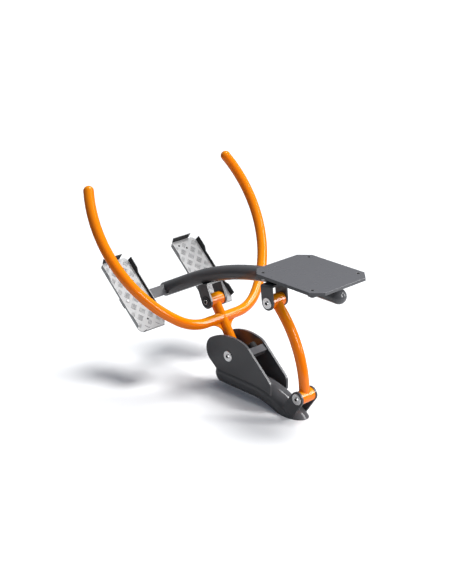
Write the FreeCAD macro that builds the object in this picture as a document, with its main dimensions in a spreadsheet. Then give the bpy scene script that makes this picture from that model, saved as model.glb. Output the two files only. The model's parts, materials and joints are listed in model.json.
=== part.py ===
import FreeCAD, Part
import math
import os
import Sketcher
from FreeCAD import Placement, Rotation, Vector

# Outdoor rowing machine for a public park.
# Millimetres. +Z is up, +X points from the footplates to the seat, and the ground is Z = 0.
# The origin is where the axis of the base tube meets the ground.
# A rower faces -X, so "left" is the -Y side.

doc = FreeCAD.newDocument("rowing_machine")
sheet = doc.addObject("Spreadsheet::Sheet", "Sizes")

SIZES = [
    # linkage: the four pivots and the stroke
    ("handle_pivot_x", -312.9),
    ("handle_pivot_height", 159.0),
    ("link_pivot_x", 61.1),
    ("link_pivot_height", 95.0),
    ("stem_length", 236.2),
    ("handle_lean", 34.6),
    ("handle_travel", 70.0),
    ("beam_pivot_run", 343.0),
    ("beam_pivot_rise", 93.0),
    ("pivot_drop", 100.5),
    ("link_bow", 42.5),
    # base tube and its foot
    ("base_radius", 48.3),
    ("base_wall", 5.0),
    ("base_axis_height", 58.0),
    ("base_bend", 330.0),
    ("base_straight", 195.0),
    ("base_cap_depth", 35.0),
    ("anchor_thickness", 12.0),
    ("anchor_run", 30.0),
    ("anchor_width", 40.0),
    ("anchor_hole_radius", 6.75),
    # cheek plates
    ("cheek_gap", 82.0),
    ("cheek_thickness", 10.0),
    ("cheek_lap", 25.0),
    ("lobe_ahead", 65.0),
    ("lobe_rise", 1.0),
    ("lobe_radius", 63.0),
    ("crown_behind", 24.0),
    ("crown_drop", 154.0),
    ("shoulder_radius", 60.0),
    ("rear_edge_angle", 41.6),
    ("rear_edge_reach", 123.9),
    ("tail_reach", 239.0),
    ("tail_radius", 35.0),
    ("chin_angle", 38.0),
    # stops
    ("stop_bar_side", 30.0),
    ("rear_stop_reach", 95.7),
    ("front_stop_reach", 58.0),
    ("buffer_radius", 18.0),
    ("buffer_dome", 8.0),
    ("front_buffer_length", 20.0),
    ("rear_buffer_length", 29.0),
    ("stop_clearance", 0.3),
    # pivots
    ("ear_gap", 70.0),
    ("ear_thickness", 8.0),
    ("ear_radius", 30.0),
    ("ear_depth", 96.0),
    ("hub_radius", 27.0),
    ("hub_end_clearance", 0.3),
    ("axle_radius", 12.5),
    ("axle_clearance", 0.05),
    ("bush_wall", 3.5),
    ("bush_length", 24.0),
    ("open_pin_radius", 7.5),
    ("open_bore_radius", 23.2),
    ("disc_radius", 23.0),
    ("disc_thickness", 3.5),
    ("disc_bevel", 1.5),
    ("pivot_screw_radius", 5.0),
    ("pivot_screw_depth", 18.0),
    ("pivot_head_radius", 11.0),
    ("pivot_head_height", 3.0),
    ("pivot_socket_radius", 7.0),
    # handle
    ("handle_radius", 21.2),
    ("handle_wall", 3.2),
    ("bar_height", 156.5),
    ("bar_half_straight", 86.0),
    ("elbow_bend", 203.0),
    ("elbow_angle", 38.4),
    ("arm_bend", 520.0),
    ("arm_angle", 73.5),
    ("web_size", 46.0),
    ("web_thickness", 6.0),
    # beam
    ("beam_radius", 30.15),
    ("beam_wall", 3.6),
    ("beam_bend", 1360.0),
    ("beam_bend_angle", 27.7),
    ("beam_tail", 17.0),
    ("beam_nose", 151.6),
    ("nose_past_bar", 36.0),
    ("nose_plate_thickness", 6.0),
    ("clevis_width", 60.0),
    ("clevis_bridge", 8.0),
    # seat
    ("seat_length", 350.0),
    ("seat_width", 305.0),
    ("seat_thickness", 12.0),
    ("seat_corner", 42.0),
    ("seat_edge", 2.0),
    ("seat_offset", 27.0),
    ("seat_hole_inset_x", 50.0),
    ("seat_hole_inset_y", 27.5),
    ("seat_screw_radius", 4.0),
    ("seat_screw_clearance", 0.25),
    ("seat_head_radius", 7.5),
    ("seat_head_sink", 0.4),
    ("seat_socket_depth", 2.4),
    ("seat_socket_radius", 2.9),
    ("seat_nut_radius", 7.5),
    ("seat_nut_height", 6.5),
    ("screw_overhang", 1.5),
    ("strap_width", 34.0),
    ("strap_thickness", 10.0),
    ("strap_clearance", 1.2),
    ("saddle_width", 44.0),
    # foot crossbar and footplates
    ("foot_bar_width", 44.0),
    ("foot_bar_thickness", 8.0),
    ("foot_bar_half", 261.0),
    ("foot_tilt", 42.1),
    ("foot_spacing", 192.0),
    ("tray_thickness", 3.0),
    ("tray_width", 148.0),
    ("tray_toe", 194.0),
    ("tray_heel", 151.0),
    ("tray_corner", 22.0),
    ("tray_fold", 6.0),
    ("side_lean", 7.0),
    ("flange_high", 26.0),
    ("flange_low", 16.0),
    ("flange_toe_short", 19.0),
    ("flange_heel_short", 26.0),
    ("flange_toe_run", 53.0),
    ("flange_heel_run", 43.0),
    ("flange_slope", 19.0),
    ("toe_flange_height", 28.0),
    ("toe_flange_lean", 13.5),
    ("toe_flange_left", 53.0),
    ("toe_flange_right", 34.0),
    ("toe_flange_flare", 7.0),
    ("heel_flange_height", 20.0),
    ("heel_flange_half", 55.0),
    ("heel_flange_chamfer", 9.0),
    ("tray_screw_pitch", 84.0),
    ("tray_screw_radius", 4.0),
    ("tray_head_radius", 6.8),
    ("tray_head_height", 3.2),
    ("tray_socket_radius", 2.6),
    ("tray_nut_radius", 7.5),
    ("tray_nut_height", 6.5),
    ("drain_radius", 3.2),
    ("toe_drain_inset", 28.0),
    ("toe_drain_side", 32.0),
    ("mid_drain_inset", 47.0),
    ("heel_drain_inset", 51.0),
]

for row, (alias, value) in enumerate(SIZES, start=1):
    sheet.set("A%d" % row, alias)
    sheet.set("B%d" % row, str(value))
    sheet.setAlias("B%d" % row, alias)
doc.recompute()


class Size:
    """A number together with the sheet expression that gives it."""

    def __init__(self, value, text):
        self.value = value
        self.text = text

    def _join(self, other, sign, value):
        return Size(value, "(%s %s %s)" % (self.text, sign, text_of(other)))

    def __add__(self, other):
        return self._join(other, "+", self.value + number(other))

    def __sub__(self, other):
        return self._join(other, "-", self.value - number(other))

    def __mul__(self, other):
        return self._join(other, "*", self.value * number(other))

    def __truediv__(self, other):
        return self._join(other, "/", self.value / number(other))

    def __radd__(self, other):
        return Size(number(other) + self.value, "(%s + %s)" % (text_of(other), self.text))

    def __rsub__(self, other):
        return Size(number(other) - self.value, "(%s - %s)" % (text_of(other), self.text))

    def __rmul__(self, other):
        return Size(number(other) * self.value, "(%s * %s)" % (text_of(other), self.text))

    def __neg__(self):
        return Size(-self.value, "(0 - %s)" % self.text)


def number(item):
    return item.value if isinstance(item, Size) else float(item)


def text_of(item):
    return item.text if isinstance(item, Size) else repr(float(item))


class Sizes:
    """The sheet's values by name."""


S = Sizes()
for alias, value in SIZES:
    setattr(S, alias, Size(float(sheet.get(alias)), "Sizes." + alias))


def sin(angle):
    return math.sin(math.radians(number(angle)))


def cos(angle):
    return math.cos(math.radians(number(angle)))


def bind(item, name, size):
    """Set one property, by expression where the size comes from the sheet."""
    if isinstance(size, Size):
        item.setExpression(name, size.text)
    else:
        setattr(item, name, size)


def place(item, x=0.0, y=0.0, z=0.0, turn=0.0):
    """Place an object, turned about Y by an angle in degrees."""
    rotation = Rotation(Vector(0, 1, 0), number(turn))
    item.Placement = Placement(Vector(number(x), number(y), number(z)), rotation)
    for axis, size in (("x", x), ("y", y), ("z", z)):
        if isinstance(size, Size):
            item.setExpression("Placement.Base." + axis, size.text)


def new_body(label, x=0.0, y=0.0, z=0.0, turn=0.0):
    body = doc.addObject("PartDesign::Body", label)
    body.Label = label
    place(body, x, y, z, turn)
    return body


def new_sketch(body, role, offset=0.0):
    """A sketch on one of the body's own planes, moved along the plane's normal."""
    sketch = body.newObject("Sketcher::SketchObject", body.Name + "_sketch")
    support = [item for item in body.Origin.OriginFeatures if item.Role == role][0]
    sketch.AttachmentSupport = [(support, "")]
    sketch.MapMode = "FlatFace"
    sketch.AttachmentOffset = Placement(Vector(0, 0, number(offset)), Rotation())
    if isinstance(offset, Size):
        sketch.setExpression("AttachmentOffset.Base.z", offset.text)
    return sketch


def fix_point(sketch, geo, pos, x, y):
    """Hold one sketch point at x, y from the sketch's origin."""
    for kind, size, axis in (("DistanceX", x, -2), ("DistanceY", y, -1)):
        if abs(number(size)) < 1e-9:
            sketch.addConstraint(Sketcher.Constraint("PointOnObject", geo, pos, axis))
            continue
        index = sketch.addConstraint(Sketcher.Constraint(kind, -1, 1, geo, pos, number(size)))
        if isinstance(size, Size):
            sketch.setExpression("Constraints[%d]" % index, size.text)


def polygon(sketch, points):
    """A closed outline of straight lines, every corner held."""
    first = sketch.GeometryCount
    count = len(points)
    plain = [Vector(number(x), number(y), 0) for x, y in points]
    for i in range(count):
        sketch.addGeometry(Part.LineSegment(plain[i], plain[(i + 1) % count]), False)
    for i in range(count):
        sketch.addConstraint(Sketcher.Constraint("Coincident", first + i, 2, first + (i + 1) % count, 1))
    for i, (x, y) in enumerate(points):
        fix_point(sketch, first + i, 1, x, y)


def circle(sketch, x, y, radius):
    """A circle with its centre and its radius held."""
    geo = sketch.addGeometry(
        Part.Circle(Vector(number(x), number(y), 0), Vector(0, 0, 1), number(radius)), False
    )
    if abs(number(x)) < 1e-9 and abs(number(y)) < 1e-9:
        sketch.addConstraint(Sketcher.Constraint("Coincident", geo, 3, -1, 1))
    else:
        fix_point(sketch, geo, 3, x, y)
    index = sketch.addConstraint(Sketcher.Constraint("Radius", geo, number(radius)))
    if isinstance(radius, Size):
        sketch.setExpression("Constraints[%d]" % index, radius.text)


def line(start, end):
    return Part.LineSegment(Vector(number(start[0]), number(start[1]), 0),
                            Vector(number(end[0]), number(end[1]), 0))


def arc(centre, radius, start, end):
    """An arc, counter-clockwise between two angles in degrees."""
    ring = Part.Circle(Vector(number(centre[0]), number(centre[1]), 0), Vector(0, 0, 1), number(radius))
    return Part.ArcOfCircle(ring, math.radians(number(start)), math.radians(number(end)))


def chain(sketch, pieces):
    """Lines and arcs that meet end to end; an arc may come with the size of its radius."""
    made = []
    for piece in pieces:
        curve, radius = piece if isinstance(piece, tuple) else (piece, None)
        geo = sketch.addGeometry(curve, False)
        made.append((geo, curve.StartPoint, curve.EndPoint))
        if radius is not None:
            index = sketch.addConstraint(Sketcher.Constraint("Radius", geo, radius.value))
            sketch.setExpression("Constraints[%d]" % index, radius.text)
    for i, (geo_a, start_a, end_a) in enumerate(made):
        for geo_b, start_b, end_b in made[i + 1:]:
            for pos_a, point_a in ((1, start_a), (2, end_a)):
                for pos_b, point_b in ((1, start_b), (2, end_b)):
                    if point_a.distanceToPoint(point_b) < 1e-6:
                        sketch.addConstraint(
                            Sketcher.Constraint("Coincident", geo_a, pos_a, geo_b, pos_b)
                        )


def pad(body, sketch, length, side="Symmetric", reverse=False):
    feature = body.newObject("PartDesign::Pad", body.Name + "_pad")
    feature.Profile = sketch
    feature.SideType = side
    feature.Reversed = reverse
    bind(feature, "Length", length)
    sketch.Visibility = False
    return feature


def pocket(body, sketch):
    """Cut a sketch right through, to both sides."""
    feature = body.newObject("PartDesign::Pocket", body.Name + "_pocket")
    feature.Profile = sketch
    feature.SideType = "Symmetric"
    feature.Type = "ThroughAll"
    sketch.Visibility = False
    return feature


def sweep(body, profile, spine):
    feature = body.newObject("PartDesign::AdditivePipe", body.Name + "_sweep")
    feature.Profile = profile
    feature.Spine = (spine, ["Edge%d" % (i + 1) for i in range(spine.GeometryCount)])
    return feature


def revolve(body, sketch, axis):
    feature = body.newObject("PartDesign::Revolution", body.Name + "_turn")
    feature.Profile = sketch
    feature.ReferenceAxis = (sketch, [axis])
    feature.Angle = 360.0
    return feature


def cylinder(label, radius, length, x, y, z):
    """A plain cylinder along Y; y is the middle of its length."""
    item = doc.addObject("Part::Cylinder", label)
    bind(item, "Radius", radius)
    bind(item, "Height", length)
    item.Placement = Placement(Vector(number(x), 0, number(z)), Rotation(Vector(1, 0, 0), -90))
    start = y - length / 2 if isinstance(y, Size) or isinstance(length, Size) else y - 0.5 * length
    for axis, size in (("x", x), ("y", start), ("z", z)):
        if isinstance(size, Size):
            item.setExpression("Placement.Base." + axis, size.text)
    return item


def cut(label, base, tool):
    item = doc.addObject("Part::Cut", label)
    item.Base = base
    item.Tool = tool
    item.Label = label
    return item


def fuse(label, items):
    item = doc.addObject("Part::MultiFuse", label)
    item.Shapes = items
    item.Label = label
    return item


def common(label, first, second):
    item = doc.addObject("Part::Common", label)
    item.Base = first
    item.Tool = second
    item.Label = label
    return item


def group(label, items):
    item = doc.addObject("Part::Compound", label)
    item.Links = items
    item.Label = label
    return item


NODES = []


def node(item, label):
    """Name a finished piece and keep it for writing."""
    item.Label = label
    NODES.append((label, item))
    return item


# The pivots, as points in the XZ plane.
lean = S.handle_lean
P1 = (S.handle_pivot_x, S.handle_pivot_height)
P2 = (P1[0] - S.stem_length * sin(lean), P1[1] + S.stem_length * cos(lean))
P3 = (P2[0] + S.beam_pivot_run, P2[1] + S.beam_pivot_rise)
P4 = (S.link_pivot_x, S.link_pivot_height)

# The beam is an arc that keeps the same distance above both of its pivots.
span = math.hypot(number(S.beam_pivot_run), number(S.beam_pivot_rise))
inner = number(S.beam_bend - S.pivot_drop)
depth = math.sqrt(inner ** 2 - (span / 2) ** 2)
beam_centre = (
    0.5 * (number(P2[0]) + number(P3[0])) + depth * number(S.beam_pivot_rise) / span,
    0.5 * (number(P2[1]) + number(P3[1])) - depth * number(S.beam_pivot_run) / span,
)
beam_x = beam_centre[0]
beam_z = beam_centre[1] + S.beam_bend
# Its straight run goes back under the seat to just behind the middle of the rear strap.
half_x = S.seat_length / 2 - S.seat_hole_inset_x
tail_run = S.seat_offset + half_x + S.beam_tail
arc_end = (-number(S.beam_bend) * sin(S.beam_bend_angle),
           -number(S.beam_bend) * (1 - cos(S.beam_bend_angle)))
nose_end = (arc_end[0] - number(S.beam_nose) * cos(S.beam_bend_angle),
            arc_end[1] - number(S.beam_nose) * sin(S.beam_bend_angle))
past_nose = number(S.beam_nose + S.nose_past_bar)
nose_tip = (arc_end[0] - past_nose * cos(S.beam_bend_angle),
            arc_end[1] - past_nose * sin(S.beam_bend_angle))

# The footplates lie in one tilted plane, which is also the upper face of the foot crossbar.
# The crossbar runs through a slot near the end of the beam.
tilt = number(S.foot_tilt)
foot_along = (cos(tilt), -sin(tilt))
foot_normal = (sin(tilt), cos(tilt))
foot_x = beam_x + nose_end[0]
foot_z = beam_z + nose_end[1]

# The bend of the base tube starts here and runs down to the ground at the origin.
bend_run = math.sqrt(number(S.base_bend) ** 2 - number(S.base_bend - S.base_axis_height) ** 2)
bend_centre = (-bend_run, number(S.base_axis_height - S.base_bend))
base_front = -bend_run - number(S.base_straight)


def base_sweep(label, radii):
    """A solid or a tube along the base's axis, carried on below the ground."""
    body = new_body(label)
    spine = new_sketch(body, "XZ_Plane")
    last = math.degrees(math.acos(bend_run / number(S.base_bend))) - 18.0
    chain(spine, [
        line((base_front, S.base_axis_height), (-bend_run, S.base_axis_height)),
        (arc(bend_centre, S.base_bend, last, 90.0), S.base_bend),
    ])
    profile = new_sketch(body, "YZ_Plane", base_front)
    for radius in radii:
        circle(profile, 0.0, S.base_axis_height, radius)
    sweep(body, profile, spine)
    return body


def dome(label, radius, rise, x, z, turn):
    """A domed closing cap: a cap of a sphere, its flat face at x, z and its axis along turned +X."""
    body = new_body(label, x, 0.0, z, turn)
    sketch = new_sketch(body, "XZ_Plane")
    ball = (number(radius) ** 2 + number(rise) ** 2) / (2 * number(rise))
    middle = number(rise) - ball
    top = math.degrees(math.atan2(number(radius), -middle))
    chain(sketch, [
        line((0, 0), (0, radius)),
        arc((middle, 0), ball, 0.0, top),
        line((rise, 0), (0, 0)),
    ])
    revolve(body, sketch, "H_Axis")
    return body


# Base tube, its cap and its foot.
base_reach = 400.0
earth = doc.addObject("Part::Box", "below_ground")
earth.Length = 2 * base_reach
earth.Width = 2 * base_reach
earth.Height = base_reach
earth.Placement = Placement(Vector(-base_reach, -base_reach, -base_reach), Rotation())
base_outside = base_sweep("base_outside", [S.base_radius])
base_inside = base_sweep("base_inside", [S.base_radius - S.base_wall])
base_pipe = base_sweep("base_pipe", [S.base_radius, S.base_radius - S.base_wall])
node(cut("base_tube", base_pipe, earth), "base_tube")
node(dome("base_front_cap", S.base_radius, S.base_cap_depth, base_front, S.base_axis_height, 180.0),
     "base_front_cap")

slab = doc.addObject("Part::Box", "anchor_slab")
slab.Length = base_reach
slab.Width = base_reach
bind(slab, "Height", S.anchor_thickness)
slab.Placement = Placement(Vector(-base_reach / 2, -base_reach / 2, 0), Rotation())
anchor_blank = common("anchor_blank", base_inside, slab)
anchor_drills = []
for side_x in (-0.5, 0.5):
    for side_y in (-0.5, 0.5):
        drill = doc.addObject("Part::Cylinder", "anchor_drill")
        bind(drill, "Radius", S.anchor_hole_radius)
        bind(drill, "Height", S.anchor_thickness * 3)
        drill.setExpression("Placement.Base.x", (side_x * S.anchor_run).text)
        drill.setExpression("Placement.Base.y", (side_y * S.anchor_width).text)
        drill.setExpression("Placement.Base.z", (-S.anchor_thickness).text)
        anchor_drills.append(drill)
node(cut("anchor_plate", anchor_blank, fuse("anchor_drills", anchor_drills)), "anchor_plate")


def cheek_outline():
    """The cheek plate: a front lobe, a crown, a shoulder, a sloping rear edge and a rounded tail."""
    px = number(P1[0])
    pz = number(P1[1])
    lobe_r = number(S.lobe_radius)
    lobe = (px - number(S.lobe_ahead), pz + number(S.lobe_rise))
    crown = (px + number(S.crown_behind), pz - number(S.crown_drop))
    to_lobe = (lobe[0] - crown[0], lobe[1] - crown[1])
    crown_r = math.hypot(*to_lobe) + lobe_r
    lobe_angle = math.degrees(math.atan2(to_lobe[1], to_lobe[0]))
    # The shoulder touches the crown from inside and the rear edge.
    shoulder_r = number(S.shoulder_radius)
    rear = number(S.rear_edge_angle)
    normal = (sin(rear), cos(rear))
    along = (cos(rear), -sin(rear))
    edge = number(S.rear_edge_reach)
    level = edge - shoulder_r
    from_crown = (px - crown[0]) * normal[0] + (pz - crown[1]) * normal[1] + level
    slide = math.sqrt((crown_r - shoulder_r) ** 2 - from_crown ** 2)
    shoulder = (crown[0] + normal[0] * from_crown - along[0] * slide,
                crown[1] + normal[1] * from_crown - along[1] * slide)
    shoulder_angle = math.degrees(math.atan2(shoulder[1] - crown[1], shoulder[0] - crown[0]))
    rear_angle = 90.0 - rear
    edge_start = (shoulder[0] + shoulder_r * normal[0], shoulder[1] + shoulder_r * normal[1])
    # The tail circle touches the rear edge and the upright at the back.
    tail_r = number(S.tail_radius)
    tail_x = px + number(S.tail_reach) - tail_r
    edge_level = px * normal[0] + pz * normal[1] + edge
    tail_z = (edge_level - tail_r - tail_x * normal[0]) / normal[1]
    edge_end = (tail_x + tail_r * normal[0], tail_z + tail_r * normal[1])
    # The bottom follows the tube.
    low_r = number(S.base_bend + S.cheek_lap)
    low_z = number(S.base_axis_height + S.cheek_lap)
    back_x = tail_x + tail_r
    back_z = bend_centre[1] + math.sqrt(low_r ** 2 - (back_x - bend_centre[0]) ** 2)
    back_angle = math.degrees(math.atan2(back_z - bend_centre[1], back_x - bend_centre[0]))
    # The chin is a straight line from the lobe down to the bottom edge.
    chin = number(S.chin_angle)
    chin_angle = 180.0 + 90.0 - chin
    chin_top = (lobe[0] + lobe_r * cos(chin_angle), lobe[1] + lobe_r * sin(chin_angle))
    drop = chin_top[1] - low_z
    chin_low = (chin_top[0] + drop * cos(chin) / sin(chin), low_z)
    return [
        (arc(lobe, lobe_r, lobe_angle, chin_angle), S.lobe_radius),
        line(chin_top, chin_low),
        line(chin_low, (bend_centre[0], low_z)),
        arc(bend_centre, low_r, back_angle, 90.0),
        line((back_x, back_z), (back_x, tail_z)),
        (arc((tail_x, tail_z), tail_r, 0.0, rear_angle), S.tail_radius),
        line(edge_end, edge_start),
        (arc(shoulder, shoulder_r, rear_angle, shoulder_angle), S.shoulder_radius),
        arc(crown, crown_r, shoulder_angle, lobe_angle),
    ]


cheek_middle = (S.cheek_gap + S.cheek_thickness) / 2
for side, name in ((-1.0, "left"), (1.0, "right")):
    blank = new_body(name + "_cheek_blank", 0.0, side * cheek_middle, 0.0)
    outline = new_sketch(blank, "XZ_Plane")
    chain(outline, cheek_outline())
    pad(blank, outline, S.cheek_thickness)
    hole = new_sketch(blank, "XZ_Plane")
    circle(hole, P1[0], P1[1], S.axle_radius)
    pocket(blank, hole)
    node(cut(name + "_cheek_plate", blank, base_outside), name + "_cheek_plate")

# Ears behind, which carry the rear link.
ear_middle = (S.ear_gap + S.ear_thickness) / 2
ear_turn = math.degrees(math.atan2(number(P4[0]) - bend_centre[0], number(P4[1]) - bend_centre[1]))
for side, name in ((-1.0, "left"), (1.0, "right")):
    blank = new_body(name + "_ear_blank", P4[0], side * ear_middle, P4[1], ear_turn)
    outline = new_sketch(blank, "XZ_Plane")
    chain(outline, [
        (arc((0, 0), S.ear_radius, 0.0, 180.0), S.ear_radius),
        line((-S.ear_radius, 0), (-S.ear_radius, -S.ear_depth)),
        line((-S.ear_radius, -S.ear_depth), (S.ear_radius, -S.ear_depth)),
        line((S.ear_radius, -S.ear_depth), (S.ear_radius, 0)),
    ])
    pad(blank, outline, S.ear_thickness)
    hole = new_sketch(blank, "XZ_Plane")
    circle(hole, 0.0, 0.0, S.axle_radius)
    pocket(blank, hole)
    node(cut(name + "_rear_ear", blank, base_outside), name + "_rear_ear")


def square_bar(label, side, length, x, z, turn):
    body = new_body(label, x, 0.0, z, turn)
    sketch = new_sketch(body, "XZ_Plane")
    half = side / 2
    polygon(sketch, [(-half, -half), (half, -half), (half, half), (-half, half)])
    pad(body, sketch, length)
    return body


def buffer(label, length, x, z, turn):
    """A rubber buffer with a domed end, its axis along turned +X."""
    body = new_body(label, x, 0.0, z, turn)
    sketch = new_sketch(body, "XZ_Plane")
    radius = number(S.buffer_radius)
    rise = number(S.buffer_dome)
    ball = (radius ** 2 + rise ** 2) / (2 * rise)
    middle = number(length) - ball
    straight = number(length) - rise
    top = math.degrees(math.atan2(radius, straight - middle))
    chain(sketch, [
        line((0, 0), (0, radius)),
        line((0, radius), (straight, radius)),
        arc((middle, 0), ball, 0.0, top),
        line((length, 0), (0, 0)),
    ])
    revolve(body, sketch, "H_Axis")
    return body


def stop(name, angle, reach, length, way):
    """A stop bar between the cheeks with a buffer square to the stem where the stem meets it."""
    up = (sin(angle), cos(angle))
    out = (way * cos(angle), -way * sin(angle))
    gap = number(S.handle_radius) + number(S.stop_clearance)
    face = gap + number(length)
    middle = face + number(S.stop_bar_side) / 2
    turn = number(angle) + (180.0 if way > 0 else 0.0)
    seat = (number(P1[0]) + number(reach) * up[0] + face * out[0],
            number(P1[1]) + number(reach) * up[1] + face * out[1])
    centre = (number(P1[0]) + number(reach) * up[0] + middle * out[0],
              number(P1[1]) + number(reach) * up[1] + middle * out[1])
    label = name + "_stop_bar"
    node(square_bar(label, S.stop_bar_side, S.cheek_gap, centre[0], centre[1], number(angle)), label)
    label = name + "_stop_buffer"
    node(buffer(label, length, seat[0], seat[1], turn), label)


stop("front", -lean, S.front_stop_reach, S.front_buffer_length, -1.0)
stop("rear", S.handle_travel - lean, S.rear_stop_reach, S.rear_buffer_length, 1.0)

# Hubs, bushes and axles.
bush_outer = S.axle_radius + S.axle_clearance + S.bush_wall
bush_inner = S.axle_radius + S.axle_clearance
ear_hub_length = S.ear_gap - S.hub_end_clearance * 2
cheek_hub_length = S.cheek_gap - S.hub_end_clearance * 2


def hub(label, point, length, bore):
    outer = cylinder(label + "_outer", S.hub_radius, length, point[0], 0.0, point[1])
    inside = cylinder(label + "_bore", bore, length * 2, point[0], 0.0, point[1])
    return node(cut(label, outer, inside), label)


def bushes(label, places):
    """Plain bushes in both ends of each hub."""
    items = []
    for point, length in places:
        for side in (-1.0, 1.0):
            middle = side * ((length - S.bush_length) / 2)
            outer = cylinder("bush_outer", bush_outer, S.bush_length, point[0], middle, point[1])
            inside = cylinder("bush_bore", bush_inner, S.bush_length * 2, point[0], middle, point[1])
            items.append(cut("bush", outer, inside))
    return node(group(label, items), label)


def axle(label, radius, length, point):
    """An axle between two plates, tapped at both ends for the pivot screws."""
    bar = cylinder(label + "_bar", radius, length, point[0], 0.0, point[1])
    taps = []
    for side in (-1.0, 1.0):
        middle = side * (length / 2)
        taps.append(cylinder(label + "_tap", S.pivot_screw_radius, S.pivot_screw_depth * 2,
                             point[0], middle, point[1]))
    return node(cut(label, bar, fuse(label + "_taps", taps)), label)


def outward(item, x, y, z, side):
    """Place an object whose local Z is to point out along -Y or +Y."""
    rotation = Rotation(Vector(1, 0, 0), -90.0 * side)
    item.Placement = Placement(Vector(number(x), number(y), number(z)), rotation)
    for axis, size in (("x", x), ("y", y), ("z", z)):
        if isinstance(size, Size):
            item.setExpression("Placement.Base." + axis, size.text)
    return item


def primitive(kind, label, **sizes):
    item = doc.addObject(kind, label)
    for name, size in sizes.items():
        bind(item, name, size)
    return item


def pivot_covers(label, places):
    """Bevelled discs over the axle ends, with the screws that hold them."""
    discs = []
    screws = []
    for point, face in places:
        for side in (-1.0, 1.0):
            flat = S.disc_thickness - S.disc_bevel
            plate = primitive("Part::Cylinder", "disc_plate", Radius=S.disc_radius, Height=flat)
            outward(plate, point[0], side * face, point[1], side)
            bevel = primitive("Part::Cone", "disc_bevel", Radius1=S.disc_radius,
                              Radius2=S.disc_radius - S.disc_bevel, Height=S.disc_bevel)
            outward(bevel, point[0], side * (face + flat), point[1], side)
            hole = primitive("Part::Cylinder", "disc_hole", Radius=S.pivot_screw_radius,
                             Height=S.disc_thickness * 3)
            outward(hole, point[0], side * (face - S.disc_thickness), point[1], side)
            discs.append(cut("disc", fuse("disc_blank", [plate, bevel]), hole))
            top = face + S.disc_thickness
            head = primitive("Part::Cone", "screw_head", Radius1=S.pivot_head_radius,
                             Radius2=S.pivot_head_radius - 1.0, Height=S.pivot_head_height)
            outward(head, point[0], side * top, point[1], side)
            shank = primitive("Part::Cylinder", "screw_shank", Radius=S.pivot_screw_radius,
                              Height=S.pivot_screw_depth + S.disc_thickness)
            outward(shank, point[0], side * (face - S.pivot_screw_depth), point[1], side)
            socket = primitive("Part::Prism", "screw_socket", Polygon=6,
                               Circumradius=S.pivot_socket_radius, Height=S.pivot_head_height * 2)
            outward(socket, point[0], side * (top + 0.5), point[1], side)
            screws.append(cut("screw", fuse("screw_blank", [head, shank]), socket))
    node(group(label + "_pivot_discs", discs), label + "_pivot_discs")
    node(group(label + "_pivot_screws", screws), label + "_pivot_screws")


ear_face = S.ear_gap / 2 + S.ear_thickness
cheek_face = S.cheek_gap / 2 + S.cheek_thickness
axle("handle_axle", S.axle_radius, cheek_face * 2, P1)
axle("link_axle", S.axle_radius, ear_face * 2, P4)
pivot_covers("base", [(P1, cheek_face), (P4, ear_face)])

# Handle: a stem in two lengths, a hub at each end and one long bent bar.


def stem(label, start, end, start_radius, end_radius):
    """A straight tube up the handle's plane, coped over a round piece at each end."""
    body = new_body(label, P1[0], 0.0, P1[1], -number(lean))
    ring = new_sketch(body, "XY_Plane", start)
    circle(ring, 0.0, 0.0, S.handle_radius)
    circle(ring, 0.0, 0.0, S.handle_radius - S.handle_wall)
    pad(body, ring, end - start, "One side")
    copes = new_sketch(body, "XZ_Plane")
    circle(copes, 0.0, start, start_radius)
    circle(copes, 0.0, end, end_radius)
    pocket(body, copes)
    return node(body, label)


stem("lower_stem", 0.0 * S.stem_length, S.bar_height, S.hub_radius, S.handle_radius)
stem("upper_stem", S.bar_height, S.stem_length, S.handle_radius, S.hub_radius)
hub("lower_handle_hub", P1, cheek_hub_length, bush_outer)
hub("upper_handle_hub", P2, ear_hub_length, bush_outer)
bushes("handle_bushes", [(P1, cheek_hub_length), (P2, ear_hub_length)])

elbow_centre = (number(S.bar_half_straight), number(S.bar_height + S.elbow_bend))
heading = number(S.elbow_angle)
elbow_end = (elbow_centre[0] + number(S.elbow_bend) * sin(heading),
             elbow_centre[1] - number(S.elbow_bend) * cos(heading))
arm_centre = (elbow_end[0] - number(S.arm_bend) * sin(heading),
              elbow_end[1] + number(S.arm_bend) * cos(heading))
heading_end = number(S.elbow_angle + S.arm_angle)
arm_end = (arm_centre[0] + number(S.arm_bend) * sin(heading_end),
           arm_centre[1] - number(S.arm_bend) * cos(heading_end))
handlebar = new_body("handlebar", P1[0], 0.0, P1[1], -number(lean))
spine = new_sketch(handlebar, "YZ_Plane")
chain(spine, [
    line((0, S.bar_height), (S.bar_half_straight, S.bar_height)),
    (arc(elbow_centre, S.elbow_bend, -90.0, heading - 90.0), S.elbow_bend),
    (arc(arm_centre, S.arm_bend, heading - 90.0, heading_end - 90.0), S.arm_bend),
])
profile = new_sketch(handlebar, "XZ_Plane")
circle(profile, 0.0, S.bar_height, S.handle_radius)
circle(profile, 0.0, S.bar_height, S.handle_radius - S.handle_wall)
half_bar = sweep(handlebar, profile, spine)
whole_bar = handlebar.newObject("PartDesign::Mirrored", "handlebar_mirror")
whole_bar.Originals = [half_bar]
middle_plane = [item for item in handlebar.Origin.OriginFeatures if item.Role == "XZ_Plane"][0]
whole_bar.MirrorPlane = (middle_plane, [""])
handlebar.Tip = whole_bar
node(handlebar, "handlebar")

handle_turn = Rotation(Vector(0, 1, 0), -number(lean))
handle_origin = Vector(number(P1[0]), 0, number(P1[1]))
tips = []
for side in (-1.0, 1.0):
    tip = primitive("Part::Sphere", "handle_tip", Radius=S.handle_radius)
    tip.Angle1 = 0.0
    own_turn = Rotation(Vector(1, 0, 0), side * (heading_end - 90.0))
    own_place = handle_turn.multVec(Vector(0, side * arm_end[0], arm_end[1]))
    tip.Placement = Placement(handle_origin + own_place, handle_turn.multiply(own_turn))
    tips.append(tip)
node(group("handle_end_caps", tips), "handle_end_caps")

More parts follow.
